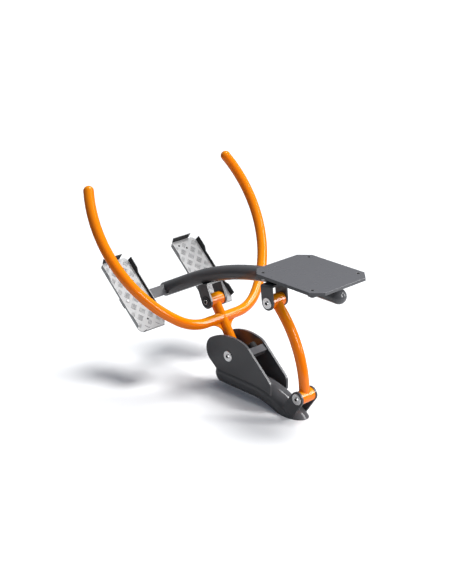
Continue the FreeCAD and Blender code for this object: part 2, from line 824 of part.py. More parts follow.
for side, name in ((-1.0, "left"), (1.0, "right")):
    label = name + "_stem_web"
    web = new_body(label, P1[0], 0.0, P1[1], -number(lean))
    outline = new_sketch(web, "YZ_Plane")
    near = side * number(S.handle_radius)
    far = side * number(S.handle_radius + S.web_size)
    high = number(S.bar_height - S.handle_radius)
    low = number(S.bar_height - S.handle_radius - S.web_size)
    quarter = (90.0, 180.0) if side > 0 else (0.0, 90.0)
    chain(outline, [
        line((near, low), (near, high)),
        line((near, high), (far, high)),
        (arc((far, low), S.web_size, quarter[0], quarter[1]), S.web_size),
    ])
    pad(web, outline, S.web_thickness)
    node(web, label)

# Rear link: one bowed tube between two hubs.
link_run = number(P3[0] - P4[0])
link_rise = number(P3[1] - P4[1])
link_chord = math.hypot(link_run, link_rise)
link_bend = link_chord ** 2 / (8 * number(S.link_bow)) + number(S.link_bow) / 2
link_half = math.degrees(math.asin(link_chord / (2 * link_bend)))
link_turn = math.degrees(math.atan2(link_run, link_rise)) + link_half
link_end = (link_bend * (cos(2 * link_half) - 1), link_bend * sin(2 * link_half))
link_tube = new_body("link_tube", P4[0], 0.0, P4[1], link_turn)
spine = new_sketch(link_tube, "XZ_Plane")
chain(spine, [arc((-link_bend, 0), link_bend, 0.0, 2 * link_half)])
profile = new_sketch(link_tube, "XY_Plane")
circle(profile, 0.0, 0.0, S.handle_radius)
circle(profile, 0.0, 0.0, S.handle_radius - S.handle_wall)
sweep(link_tube, profile, spine)
copes = new_sketch(link_tube, "XZ_Plane")
circle(copes, 0.0, 0.0, S.hub_radius)
circle(copes, link_end[0], link_end[1], S.hub_radius)
pocket(link_tube, copes)
node(link_tube, "link_tube")
hub("lower_link_hub", P4, ear_hub_length, bush_outer)
hub("upper_link_hub", P3, ear_hub_length, S.open_bore_radius)
bushes("link_bushes", [(P4, ear_hub_length)])

# Beam: one bent tube from behind the seat to the foot crossbar.


def beam_path(body):
    spine = new_sketch(body, "XZ_Plane")
    chain(spine, [
        line((tail_run, 0), (0, 0)),
        (arc((0, -S.beam_bend), S.beam_bend, 90.0, 90.0 + number(S.beam_bend_angle)), S.beam_bend),
        line(arc_end, nose_tip),
    ])
    return spine


def beam_sweep(label, radii):
    body = new_body(label, beam_x, 0.0, beam_z)
    spine = beam_path(body)
    profile = new_sketch(body, "YZ_Plane", tail_run)
    for radius in radii:
        circle(profile, 0.0, 0.0, radius)
    sweep(body, profile, spine)
    return body


beam_outside = beam_sweep("beam_outside", [S.beam_radius])
beam_tube = beam_sweep("beam_tube", [S.beam_radius, S.beam_radius - S.beam_wall])
slot = new_sketch(beam_tube, "XZ_Plane")


def off_foot_plane(run, rise):
    """A point of the beam's own XZ plane, from a run along the foot plane and a rise above it."""
    return (nose_end[0] + foot_along[0] * run + foot_normal[0] * rise,
            nose_end[1] + foot_along[1] * run + foot_normal[1] * rise)


slot_half = number(S.foot_bar_width) / 2
slot_depth = number(S.foot_bar_thickness)
polygon(slot, [off_foot_plane(-slot_half, 0.0), off_foot_plane(-slot_half, -slot_depth),
               off_foot_plane(slot_half, -slot_depth), off_foot_plane(slot_half, 0.0)])
pocket(beam_tube, slot)
node(beam_tube, "beam_tube")
node(dome("beam_nose_plate", S.beam_radius, S.nose_plate_thickness, beam_x + nose_tip[0],
          beam_z + nose_tip[1], 180.0 - number(S.beam_bend_angle)), "beam_nose_plate")
rear_cap = dome("beam_rear_cap", S.beam_radius, S.beam_radius, beam_x + tail_run, beam_z, 0.0)
node(rear_cap, "beam_rear_cap")


def clevis(label, point, pin):
    """A folded bracket under the beam: a bridge on the tube and two ears down to the pivot."""
    turn = -math.degrees(math.atan2(beam_centre[0] - number(point[0]), number(point[1]) - beam_centre[1]))
    blank = new_body(label + "_blank", point[0], 0.0, point[1], turn)
    outline = new_sketch(blank, "YZ_Plane")
    inner_y = S.ear_gap / 2
    outer_y = S.ear_gap / 2 + S.ear_thickness
    top = S.pivot_drop - S.beam_radius + 1.5
    under = top - S.clevis_bridge
    low = -S.ear_radius
    polygon(outline, [(-outer_y, low), (-inner_y, low), (-inner_y, under), (inner_y, under),
                      (inner_y, low), (outer_y, low), (outer_y, top), (-outer_y, top)])
    pad(blank, outline, S.clevis_width)
    rounding = new_sketch(blank, "XZ_Plane")
    half = number(S.clevis_width) / 2
    beyond = half + 6.0
    below = -number(S.ear_radius) - 6.0
    chain(rounding, [
        (arc((0, 0), S.ear_radius, 180.0, 360.0), S.ear_radius),
        line((S.ear_radius, 0), (beyond, 0)),
        line((beyond, 0), (beyond, below)),
        line((beyond, below), (-beyond, below)),
        line((-beyond, below), (-beyond, 0)),
        line((-beyond, 0), (-S.ear_radius, 0)),
    ])
    pocket(blank, rounding)
    hole = new_sketch(blank, "XZ_Plane")
    circle(hole, 0.0, 0.0, pin)
    bored = pocket(blank, hole)
    doc.recompute()
    folds = []
    for index, edge in enumerate(bored.Shape.Edges, start=1):
        middle = edge.CenterOfMass
        straight = abs(edge.Length - number(S.clevis_width)) < 1e-6
        if straight and abs(middle.z - number(top)) < 1e-6 and abs(abs(middle.y) - number(outer_y)) < 1e-6:
            folds.append("Edge%d" % index)
    fold = blank.newObject("PartDesign::Fillet", label + "_fold")
    fold.Base = (bored, folds)
    bind(fold, "Radius", S.clevis_bridge)
    return node(cut(label, blank, beam_outside), label)


clevis("front_clevis", P2, S.axle_radius)
clevis("rear_clevis", P3, S.open_pin_radius)
axle("front_beam_axle", S.axle_radius, ear_face * 2, P2)
axle("rear_beam_axle", S.open_pin_radius, ear_face * 2, P3)
pivot_covers("beam", [(P2, ear_face), (P3, ear_face)])

# Seat: a board screwed to two straps that are welded across the beam.
seat_x = beam_x + S.seat_offset
strap_z = beam_z + S.beam_radius + S.strap_clearance
board_z = strap_z + S.strap_thickness
half_y = S.seat_width / 2 - S.seat_hole_inset_y
screw_hole = S.seat_screw_radius + S.seat_screw_clearance

board = new_body("seat_blank", seat_x, 0.0, board_z)
outline = new_sketch(board, "XY_Plane")
edge_x = S.seat_length / 2
edge_y = S.seat_width / 2
polygon(outline, [
    (-edge_x, -edge_y + S.seat_corner), (-edge_x + S.seat_corner, -edge_y),
    (edge_x - S.seat_corner, -edge_y), (edge_x, -edge_y + S.seat_corner),
    (edge_x, edge_y - S.seat_corner), (edge_x - S.seat_corner, edge_y),
    (-edge_x + S.seat_corner, edge_y), (-edge_x, edge_y - S.seat_corner),
])
board_pad = pad(board, outline, S.seat_thickness, "One side")
doc.recompute()
top_face = ["Face%d" % index for index, face in enumerate(board_pad.Shape.Faces, start=1)
            if face.normalAt(0, 0).z > 0.9]
eased = board.newObject("PartDesign::Fillet", "seat_board_edge")
eased.Base = (board_pad, top_face)
bind(eased, "Radius", S.seat_edge)
holes = new_sketch(board, "XY_Plane")
for side_x in (-1.0, 1.0):
    for side_y in (-1.0, 1.0):
        circle(holes, side_x * half_x, side_y * half_y, screw_hole)
pocket(board, holes)
seat_top = board_z + S.seat_thickness
sinks = []
for side_x in (-1.0, 1.0):
    for side_y in (-1.0, 1.0):
        mouth = S.seat_head_radius + S.seat_head_sink * 2
        sink = primitive("Part::Cone", "seat_sink", Radius1=screw_hole, Radius2=mouth,
                         Height=mouth - screw_hole)
        place(sink, seat_x + side_x * half_x, side_y * half_y,
              seat_top + S.seat_head_sink - mouth + screw_hole)
        sinks.append(sink)
node(cut("seat_board", board, fuse("seat_sinks", sinks)), "seat_board")

closed_beam = fuse("closed_beam", [beam_outside, rear_cap])
for side, name in ((-1.0, "front"), (1.0, "rear")):
    label = name + "_seat_strap"
    flat = new_body(name + "_strap_flat", seat_x + side * half_x, 0.0, strap_z)
    outline = new_sketch(flat, "XY_Plane")
    wide = S.strap_width / 2
    chain(outline, [
        (arc((0, half_y), wide, 0.0, 180.0), wide),
        line((-wide, half_y), (-wide, -half_y)),
        (arc((0, -half_y), wide, 180.0, 360.0), wide),
        line((wide, -half_y), (wide, half_y)),
    ])
    pad(flat, outline, S.strap_thickness, "One side")
    holes = new_sketch(flat, "XY_Plane")
    for side_y in (-1.0, 1.0):
        circle(holes, 0.0, side_y * half_y, screw_hole)
    pocket(flat, holes)
    saddle = primitive("Part::Box", name + "_saddle", Length=S.strap_width, Width=S.saddle_width,
                       Height=S.beam_radius)
    place(saddle, seat_x + side * half_x - S.strap_width / 2, -S.saddle_width / 2, strap_z - S.beam_radius)
    rest = cut(name + "_saddle_rest", saddle, closed_beam)
    core = primitive("Part::Box", name + "_saddle_core", Length=S.strap_width * 2, Width=S.saddle_width * 2,
                     Height=S.beam_radius * 2)
    place(core, seat_x + side * half_x - S.strap_width, -S.saddle_width,
          strap_z - S.beam_radius * 2.5)
    trimmed = cut(name + "_saddle_trim", rest, core)
    node(fuse(label, [flat, trimmed]), label)


def button_screw(label, x, y, z, turn, radius, length, head, height, socket):
    """A low button-head screw with a hex socket, its head above the point and its shank below."""
    rotation = Rotation(Vector(0, 1, 0), number(turn))
    up = rotation.multVec(Vector(0, 0, 1))

    def put(item, rise):
        base = Vector(number(x), number(y), number(z)) + up * number(rise)
        item.Placement = Placement(base, rotation)
        return item

    lower = put(primitive("Part::Cylinder", label + "_rim", Radius=head, Height=height * 0.4), 0.0)
    upper = put(primitive("Part::Cone", label + "_crown", Radius1=head, Radius2=head * 0.62,
                          Height=height * 0.6), height * 0.4)
    shank = put(primitive("Part::Cylinder", label + "_shank", Radius=radius, Height=length), -length)
    key = put(primitive("Part::Prism", label + "_key", Polygon=6, Circumradius=socket, Height=height),
              height * 0.45)
    return cut(label, fuse(label + "_blank", [lower, upper, shank]), key)


def sunk_screw(label, x, y, z, length):
    """A countersunk screw with a hex socket, its flat head at z and its shank below."""
    drop = S.seat_head_radius - S.seat_screw_radius
    head = primitive("Part::Cone", label + "_head", Radius1=S.seat_screw_radius,
                     Radius2=S.seat_head_radius, Height=drop)
    place(head, x, y, z - drop)
    shank = primitive("Part::Cylinder", label + "_shank", Radius=S.seat_screw_radius, Height=length - drop)
    place(shank, x, y, z - length)
    key = primitive("Part::Prism", label + "_key", Polygon=6, Circumradius=S.seat_socket_radius,
                    Height=S.seat_socket_depth * 2)
    place(key, x, y, z - S.seat_socket_depth)
    return cut(label, fuse(label + "_blank", [head, shank]), key)


seat_screws = []
seat_nuts = []
grip = S.seat_thickness + S.strap_thickness
for side_x in (-1.0, 1.0):
    for side_y in (-1.0, 1.0):
        x = seat_x + side_x * half_x
        y = side_y * half_y
        seat_screws.append(sunk_screw("seat_screw", x, y, seat_top - S.seat_head_sink,
                                      grip - S.seat_head_sink + S.seat_nut_height + S.screw_overhang))
        nut = primitive("Part::Prism", "seat_nut_blank", Polygon=6, Circumradius=S.seat_nut_radius,
                        Height=S.seat_nut_height)
        place(nut, x, y, strap_z - S.seat_nut_height)
        thread = primitive("Part::Cylinder", "seat_nut_thread", Radius=S.seat_screw_radius,
                           Height=S.seat_nut_height * 3)
        place(thread, x, y, strap_z - S.seat_nut_height * 2)
        seat_nuts.append(cut("seat_nut", nut, thread))
node(group("seat_screws", seat_screws), "seat_screws")
node(group("seat_nuts", seat_nuts), "seat_nuts")

# Foot crossbar: a flat bar across the beam's front end.
foot_bar = new_body("foot_crossbar", foot_x, 0.0, foot_z, tilt)
section = new_sketch(foot_bar, "XZ_Plane")
bar_half = S.foot_bar_width / 2
polygon(section, [(-bar_half, -S.foot_bar_thickness), (bar_half, -S.foot_bar_thickness),
                  (bar_half, 0.0), (-bar_half, 0.0)])
pad(foot_bar, section, S.foot_bar_half * 2)
holes = new_sketch(foot_bar, "XY_Plane")
for side in (-1.0, 1.0):
    for end in (-0.5, 0.5):
        circle(holes, 0.0, side * S.foot_spacing + end * S.tray_screw_pitch,
               S.tray_screw_radius + S.seat_screw_clearance)
pocket(foot_bar, holes)
node(foot_bar, "foot_crossbar")


def tray(label, y):
    """A footplate folded from sheet: leaning stepped sides, a flared toe flange and a heel flange."""
    body = new_body(label, foot_x, y, foot_z, tilt)
    half = S.tray_width / 2
    fold = S.tray_fold
    skin = S.tray_thickness
    toe = -S.tray_toe
    heel = S.tray_heel
    fo = number(fold)
    t = number(skin)
    # The flat sheet with its rounded corners.
    flat = new_sketch(body, "XY_Plane")
    r = number(S.tray_corner)
    x0 = number(toe + skin * 1.5)
    x1 = number(heel - skin * 1.5)
    w = number(half - skin)
    chain(flat, [
        line((x0, -w + r), (x0, w - r)),
        (arc((x0 + r, w - r), r, 90.0, 180.0), S.tray_corner),
        line((x0 + r, w), (x1 - r, w)),
        (arc((x1 - r, w - r), r, 0.0, 90.0), S.tray_corner),
        line((x1, w - r), (x1, -w + r)),
        (arc((x1 - r, -w + r), r, 270.0, 360.0), S.tray_corner),
        line((x1 - r, -w), (x0 + r, -w)),
        (arc((x0 + r, -w + r), r, 180.0, 270.0), S.tray_corner),
    ])
    pad(body, flat, skin, "One side")

    def folded(way, edge, height, slant):
        """One fold of the sheet: outer and inner points from the bend to the top of the flange."""
        turn = 90.0 - slant
        bend = edge - way * fo
        outer_low = (bend + way * fo * sin(turn), fo - fo * cos(turn))
        inner_low = (bend + way * (fo - t) * sin(turn), fo - (fo - t) * cos(turn))
        rise = (height - outer_low[1]) / cos(slant)
        outer_top = (outer_low[0] + way * rise * sin(slant), outer_low[1] + rise * cos(slant))
        inner_top = (inner_low[0] + way * rise * sin(slant), inner_low[1] + rise * cos(slant))
        sweep_angle = (270.0, 270.0 + turn) if way > 0 else (270.0 - turn, 270.0)
        return [
            (arc((bend, fo), fo, sweep_angle[0], sweep_angle[1]), fold),
            line(outer_low, outer_top),
            line(outer_top, inner_top),
            line(inner_top, inner_low),
            (arc((bend, fo), fo - t, sweep_angle[0], sweep_angle[1]), fold - skin),
        ]

    # The sides: one folded channel, cut to its stepped height afterwards.
    side_start = toe + S.flange_toe_short
    side_end = heel - S.flange_heel_short
    channel = new_sketch(body, "YZ_Plane", side_start)
    hw = number(half)
    high = number(S.flange_high)
    chain(channel, [line((-hw + fo, 0), (hw - fo, 0)), line((hw - fo, t), (-hw + fo, t))]
          + folded(1.0, hw, high, number(S.side_lean)) + folded(-1.0, -hw, high, number(S.side_lean)))
    pad(body, channel, side_end - side_start, "One side")
    # The toe and heel flanges, each an L-shaped fold across the plate.
    toe_half = (S.toe_flange_left + S.toe_flange_right) / 2
    toe_middle = (S.toe_flange_right - S.toe_flange_left) / 2
    wide_toe = toe_half + S.toe_flange_flare
    for way, end, height, slant, wide, middle in (
            (-1.0, toe, S.toe_flange_height, S.toe_flange_lean, wide_toe, toe_middle),
            (1.0, heel, S.heel_flange_height, 0.0, S.heel_flange_half, 0.0)):
        lip = new_sketch(body, "XZ_Plane", -number(middle))
        edge = number(end)
        inner_x = edge - way * (fo + 2 * t)
        bend = edge - way * fo
        chain(lip, [line((bend, 0), (inner_x, 0)), line((inner_x, 0), (inner_x, t)),
                    line((inner_x, t), (bend, t))] + folded(way, edge, number(height), number(slant)))
        pad(body, lip, wide * 2)
    # The stepped tops of the sides.
    steps = new_sketch(body, "XZ_Plane")
    front_low = side_start + S.flange_toe_run
    rear_low = side_end - S.flange_heel_run
    over = S.flange_slope * 0.3
    rise = (S.flange_high - S.flange_low) * 1.3
    polygon(steps, [(front_low - over, S.flange_low + rise), (front_low + S.flange_slope, S.flange_low),
                    (rear_low - S.flange_slope, S.flange_low), (rear_low + over, S.flange_low + rise)])
    pocket(body, steps)
    # The ends of the toe flange flare outwards and those of the heel flange are cut back.
    heel_top = S.heel_flange_half - S.heel_flange_chamfer
    for way, end, height, base, top, middle in (
            (-1.0, toe, S.toe_flange_height, toe_half, wide_toe, toe_middle),
            (1.0, heel, S.heel_flange_height, S.heel_flange_half, heel_top, 0.0)):
        for side in (-1.0, 1.0):
            start = end - way * (fold + skin)
            snip = new_sketch(body, "YZ_Plane", start)
            outside = S.heel_flange_half + S.toe_flange_flare + skin if way > 0 else wide_toe + skin
            foot = -skin if way < 0 else fold
            polygon(snip, [(middle + side * base, foot), (middle + side * top, height + skin),
                           (middle + side * outside, height + skin), (middle + side * outside, foot)])
            feature = body.newObject("PartDesign::Pocket", body.Name + "_snip")
            feature.Profile = snip
            feature.Type = "Length"
            feature.SideType = "One side"
            feature.Reversed = way > 0
            bind(feature, "Length", fold + skin + S.toe_flange_height)
    # The snips also cross the sheet at the toe, so the sheet's corners are laid in again.
    corners = new_sketch(body, "XY_Plane")
    chain(corners, [
        line((x0, -w + r), (x0, w - r)),
        (arc((x0 + r, w - r), r, 90.0, 180.0), S.tray_corner),
        line((x0 + r, w), (x0 + 2 * r, w)),
        line((x0 + 2 * r, w), (x0 + 2 * r, -w)),
        line((x0 + 2 * r, -w), (x0 + r, -w)),
        (arc((x0 + r, -w + r), r, 180.0, 270.0), S.tray_corner),
    ])
    pad(body, corners, skin, "One side")
    # Screw holes over the crossbar and drain holes near the ends.
    holes = new_sketch(body, "XY_Plane")
    for end in (-0.5, 0.5):
        circle(holes, 0.0, end * S.tray_screw_pitch, S.tray_screw_radius + S.seat_screw_clearance)
    circle(holes, toe + S.toe_drain_inset, -S.toe_drain_side, S.drain_radius)
    circle(holes, toe + S.mid_drain_inset, 0.0, S.drain_radius)
    circle(holes, heel - S.heel_drain_inset, 0.0, S.drain_radius)
    pocket(body, holes)
    return node(body, label)


foot_screws = []
foot_nuts = []
for side, name in ((-1.0, "left"), (1.0, "right")):
    middle = side * S.foot_spacing
    tray(name + "_footplate", middle)
    for end in (-0.5, 0.5):
        y = middle + end * S.tray_screw_pitch
        rise = number(S.tray_thickness)
        grip = S.tray_thickness + S.foot_bar_thickness
        foot_screws.append(button_screw("foot_screw",
                                        number(foot_x) + rise * foot_normal[0], y,
                                        number(foot_z) + rise * foot_normal[1], tilt,
                                        S.tray_screw_radius, grip + S.tray_nut_height + S.screw_overhang,
                                        S.tray_head_radius, S.tray_head_height, S.tray_socket_radius))
        nut = primitive("Part::Prism", "foot_nut_blank", Polygon=6, Circumradius=S.tray_nut_radius,
                        Height=S.tray_nut_height)
        thread = primitive("Part::Cylinder", "foot_nut_thread", Radius=S.tray_screw_radius,
                           Height=S.tray_nut_height * 3)
        for item, depth in ((nut, S.foot_bar_thickness + S.tray_nut_height),
                            (thread, S.foot_bar_thickness + S.tray_nut_height * 2)):
            item.Placement = Placement(Vector(number(foot_x) - number(depth) * foot_normal[0], number(y),
                                              number(foot_z) - number(depth) * foot_normal[1]),
                                       Rotation(Vector(0, 1, 0), tilt))
        foot_nuts.append(cut("foot_nut", nut, thread))
node(group("footplate_screws", foot_screws), "footplate_screws")
node(group("footplate_nuts", foot_nuts), "footplate_nuts")

doc.recompute()
for item in doc.Objects:
    if "Invalid" in item.State or "Error" in item.State:
        raise RuntimeError("%s is %s" % (item.Label, item.State))
os.makedirs("parts", exist_ok=True)
for label, item in NODES:
    shape = item.Shape
    if shape.isNull() or not shape.isValid() or not shape.Solids:
        raise RuntimeError("%s has no valid shape" % label)
for label, item in NODES:
    item.Shape.exportStep("parts/%s.step" % label)
print("%d pieces written" % len(NODES))
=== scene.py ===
"""Looks of an outdoor rowing machine in a white studio.

Powder-coated tubes, footplates of tread sheet with raised bars, and turned steel discs on the pivots.
"""

import json
import math

import bpy
import numpy as np
from mathutils import Matrix, Vector


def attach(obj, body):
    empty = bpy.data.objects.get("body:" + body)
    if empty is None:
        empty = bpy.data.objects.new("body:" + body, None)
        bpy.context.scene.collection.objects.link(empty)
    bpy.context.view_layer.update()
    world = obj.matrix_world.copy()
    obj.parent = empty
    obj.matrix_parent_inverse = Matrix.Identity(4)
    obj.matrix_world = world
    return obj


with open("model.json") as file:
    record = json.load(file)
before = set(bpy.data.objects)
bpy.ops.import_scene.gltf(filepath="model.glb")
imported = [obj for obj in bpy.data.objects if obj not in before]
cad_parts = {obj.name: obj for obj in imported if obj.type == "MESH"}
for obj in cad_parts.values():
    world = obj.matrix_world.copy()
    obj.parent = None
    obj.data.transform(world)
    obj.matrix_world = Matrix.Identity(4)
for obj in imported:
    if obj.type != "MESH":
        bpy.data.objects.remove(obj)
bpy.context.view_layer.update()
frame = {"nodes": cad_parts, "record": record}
nodes = frame["nodes"]

# Axes of the pivots, by their x and z, and of the four seat screws, in metres.
HANDLE_PIVOT = (-0.3129, 0.159)
BEAM_PIVOT = (-0.44702, 0.35343)
SEAT_PIVOT = (-0.10402, 0.44643)
LINK_PIVOT = (0.0611, 0.095)
SEAT_CENTRE = 0.0778
SEAT_SCREW_REACH = 0.125

# The underside of the footplates' sheet, in metres: along runs to the heel, normal runs up out of the sheet.
FOOT_TILT = math.radians(42.1)
FOOT_CENTRE = np.array([-0.7157, 0.0, 0.3301])
FOOT_SPACING = 0.192
FOOT_ALONG = np.array([math.cos(FOOT_TILT), 0.0, -math.sin(FOOT_TILT)])
FOOT_ACROSS = np.array([0.0, 1.0, 0.0])
FOOT_NORMAL = np.array([math.sin(FOOT_TILT), 0.0, math.cos(FOOT_TILT)])
SHEET = 0.003

# Places on a footplate, along and across it, with the room that the tread bars leave round them.
SPARE_HOLES = [(-0.166, -0.032), (-0.147, 0.0), (0.100, 0.0)]
SPARE_HOLE_ROOM = 0.006
FOOT_SCREWS = [(0.0, -0.042), (0.0, 0.042)]
FOOT_SCREW_ROOM = 0.010
TREAD_TOE_EDGE = -0.186
TREAD_HEEL_EDGE = 0.143
TREAD_SIDE_EDGE = 0.0665

# The tread bars.
BAR_HALF_LENGTH = 0.0125
BAR_HALF_WIDTH = 0.0017
BAR_HEIGHT = 0.0012
BAR_TAPER = 0.7
BAR_STATIONS = 5
BAR_LAST_STATION = 0.86
BAR_SIDES = 8
BARS_TO_EACH_SIDE = 2
BAR_GAP = 0.0054
CELL_PITCH = 0.0545
CELLS_TO_EACH_SIDE = 6
CELL_START = np.array([-0.078, -0.030])

# The plugs of the spare holes.
PLUG_STEM_RADIUS = 0.0030
PLUG_STEM_END = -0.0015
PLUG_HEAD_RADIUS = 0.0046
PLUG_HEAD_RISE = 0.0013
PLUG_SIDES = 16
PLUG_STEPS = 5

# The camera, in degrees, metres, pixels and millimetres.
CAMERA_TURN = 46.22
CAMERA_RISE = 21.45
CAMERA_AIM = (0.0781, 0.0, 0.610)
CAMERA_DISTANCE = 4.96624
CAMERA_LEFT = 0.31556
CAMERA_DOWN = 0.07122
FOCAL_PIXELS = 1332.37
PICTURE_HEIGHT = 584.0
SENSOR = 36.0
CLIP_END = 200.0

FLOOR_REACH = 40.0


class Field:
    """A number, vector or colour on its way through the nodes of a finish, with arithmetic on it."""

    def __init__(self, finish, socket):
        self.finish = finish
        self.socket = socket

    def calc(self, operation, *others):
        """One step of arithmetic: the Math node of that operation on this value and the others."""
        values = (self,) + others
        return self.finish.node("ShaderNodeMath", {"operation": operation}, dict(enumerate(values)))

    def __add__(self, other):
        return self.calc("ADD", other)

    def __sub__(self, other):
        return self.calc("SUBTRACT", other)

    def __mul__(self, other):
        return self.calc("MULTIPLY", other)

    def __rsub__(self, other):
        return self.finish.node("ShaderNodeMath", {"operation": "SUBTRACT"}, {0: other, 1: self})

    __radd__ = __add__
    __rmul__ = __mul__


class Finish:
    """A surface finish: a material with a Principled shader, with even values set on its own sockets."""

    def __init__(self, name, **even):
        self.material = bpy.data.materials.new(name)
        self.material.use_nodes = True
        self.tree = self.material.node_tree
        self.shader = next(n for n in self.tree.nodes if n.type == "BSDF_PRINCIPLED")
        for label, value in even.items():
            self.shader.inputs[label.replace("_", " ")].default_value = value

    @classmethod
    def over(cls, tree):
        """The same helper on the node tree of the surround, emptied first."""
        made = cls.__new__(cls)
        made.tree = tree
        tree.nodes.clear()
        return made

    def node(self, kind, settings=None, inputs=None, output=0):
        """A node of that kind, its settings first and then the values or links of its sockets."""
        made = self.tree.nodes.new(kind)
        for key, value in (settings or {}).items():
            setattr(made, key, value)
        for key, value in (inputs or {}).items():
            if isinstance(value, Field):
                self.tree.links.new(value.socket, made.inputs[key])
            else:
                made.inputs[key].default_value = value
        return None if output is None else Field(self, made.outputs[output])

    def feed(self, label, field):
        """Links a varying value to one of the shader's sockets."""
        self.tree.links.new(field.socket, self.shader.inputs[label])

    def place(self):
        """The point on the piece, in metres, in the machine's own frame."""
        return self.node("ShaderNodeTexCoord", output="Object")

    def facing(self):
        """The direction that the surface faces, in the machine's own frame."""
        return self.node("ShaderNodeTexCoord", output="Normal")

    def axes(self, vector):
        """The three parts of a vector."""
        parts = self.node("ShaderNodeSeparateXYZ", inputs={0: vector})
        return [Field(self, socket) for socket in parts.socket.node.outputs]

    def cloud(self, per_metre, detail=2.0, rough=0.5, stretch=None):
        """Smooth noise between 0 and 1 with about that many lumps to the metre."""
        point = self.place()
        if stretch:
            point = self.node("ShaderNodeMapping", inputs={"Vector": point, "Scale": stretch})
        return self.node("ShaderNodeTexNoise", inputs={"Vector": point, "Scale": per_metre,
                                                       "Detail": detail, "Roughness": rough})

    def step(self, value, low, high):
        """0 below low, 1 above high and a smooth rise between."""
        return self.node("ShaderNodeMapRange", {"interpolation_type": "SMOOTHSTEP"},
                         {"Value": value, "From Min": low, "From Max": high})

    def between(self, share, first, second):
        """A colour that goes from the first to the second as share goes from 0 to 1."""
        return self.node("ShaderNodeMix", {"data_type": "RGBA"}, {"Factor": share, 6: first, 7: second}, 2)

    def span(self, share, low, high):
        """A number that goes from low to high as share goes from 0 to 1."""
        return share * (high - low) + low

    def relief(self, height, depth):
        """Raises the surface by a height between 0 and 1 times that depth in metres."""
        self.feed("Normal", self.node("ShaderNodeBump", inputs={"Height": height, "Distance": depth}))

    def sight(self):
        """Two switches: 1 on rays straight from the camera, and 1 on rays from a mirror or through glass."""
        seen = self.node("ShaderNodeLightPath", output="Is Camera Ray")
        mirrored = self.node("ShaderNodeLightPath", output="Is Glossy Ray")
        through = self.node("ShaderNodeLightPath", output="Is Transmission Ray")
        return seen, mirrored.calc("MAXIMUM", through)

    def mixed(self, share, first, second):
        """A shader that goes from the first to the second as share goes from 0 to 1."""
        return self.node("ShaderNodeMixShader", inputs={0: share, 1: first, 2: second})


def rgb(red, green, blue):
    return (red, green, blue, 1.0)


def grey(level):
    return rgb(level, level, level)


def powder_coat(name, shaded, painted_lit_top, gloss, dull, specular, dusty):
    """Baked powder paint with a fine orange-peel skin and faint clouds.

    Its colour goes from the shaded one on its sides to a lighter one on its upper side, painted light for the
    lamp above; the upper side also has a little dust on it, and the roughness goes from gloss to dull.
    """
    dust_colour = rgb(0.42, 0.40, 0.37)
    peel_per_metre = 620.0
    peel_depth = 0.0000015
    unevenness = 0.06
    coat = Finish(name, Specular_IOR_Level=specular)
    upward = coat.axes(coat.facing())[2]
    # Painted light: the upper side takes the lighter, yellower colour, as if lit from above.
    painted_top_light = coat.step(upward + coat.cloud(per_metre=5.0) * unevenness, low=0.2, high=1.0)
    colour = coat.between(painted_top_light, rgb(*shaded), rgb(*painted_lit_top))
    patches = coat.step(coat.cloud(per_metre=38.0, detail=4.0), low=0.45, high=0.75)
    dust = coat.step(upward, low=0.3, high=1.0) * patches * dusty
    coat.feed("Base Color", coat.between(dust, colour, dust_colour))
    coat.feed("Roughness", coat.span(coat.cloud(per_metre=24.0, detail=3.0), gloss, dull))
    coat.relief(coat.cloud(peel_per_metre, detail=1.0), peel_depth)
    return coat.material


def turned_steel():
    """Stainless steel turned on a lathe: fine rings about the nearest pivot, a smear, and sockets painted
    dark as shade.

    The disc at the front of the beam is painted dark for the shade it reflects, with a paler middle as a
    painted glint.
    """
    ring_pitch = 0.0011
    ring_depth = 0.00002
    painted_socket_shade_edge = (0.0060, 0.0068)
    painted_glint_edge = (0.0100, 0.0114)
    front_edge_squared = (0.0012, 0.0016)
    steel = Finish("turned_stainless", Metallic=1.0)
    x, _, z = steel.axes(steel.place())

    def squared(pivot):
        across = x - pivot[0]
        rise = z - pivot[1]
        return across * across + rise * rise

    nearest = squared(HANDLE_PIVOT).calc("SQRT")
    for pivot in (BEAM_PIVOT, SEAT_PIVOT, LINK_PIVOT):
        nearest = nearest.calc("MINIMUM", squared(pivot).calc("SQRT"))
    rings = (nearest * (2.0 * math.pi / ring_pitch)).calc("SINE") * 0.5 + 0.5
    smear = steel.cloud(per_metre=90.0, detail=3.0)
    bright = steel.between(smear, rgb(0.72, 0.72, 0.73), rgb(0.86, 0.86, 0.87))
    # Painted reflection: the front disc is coloured dark for the shade it mirrors, with a paler middle as a
    # painted glint.
    painted_glint_rim = steel.step(nearest, *painted_glint_edge)
    painted_shade_and_glint = steel.between(painted_glint_rim, rgb(0.42, 0.40, 0.39), rgb(0.060, 0.060, 0.063))
    front = 1.0 - steel.step(squared(BEAM_PIVOT), *front_edge_squared)
    turned = steel.between(front, bright, painted_shade_and_glint)
    # Painted shade: the middle of each screw, where its socket is, is coloured near black.
    socket = 1.0 - steel.step(nearest, *painted_socket_shade_edge)
    steel.feed("Base Color", steel.between(socket, turned, rgb(0.03, 0.03, 0.032)))
    steel.feed("Roughness", steel.span(smear, 0.2, 0.32))
    steel.relief(rings, ring_depth)
    return steel.material


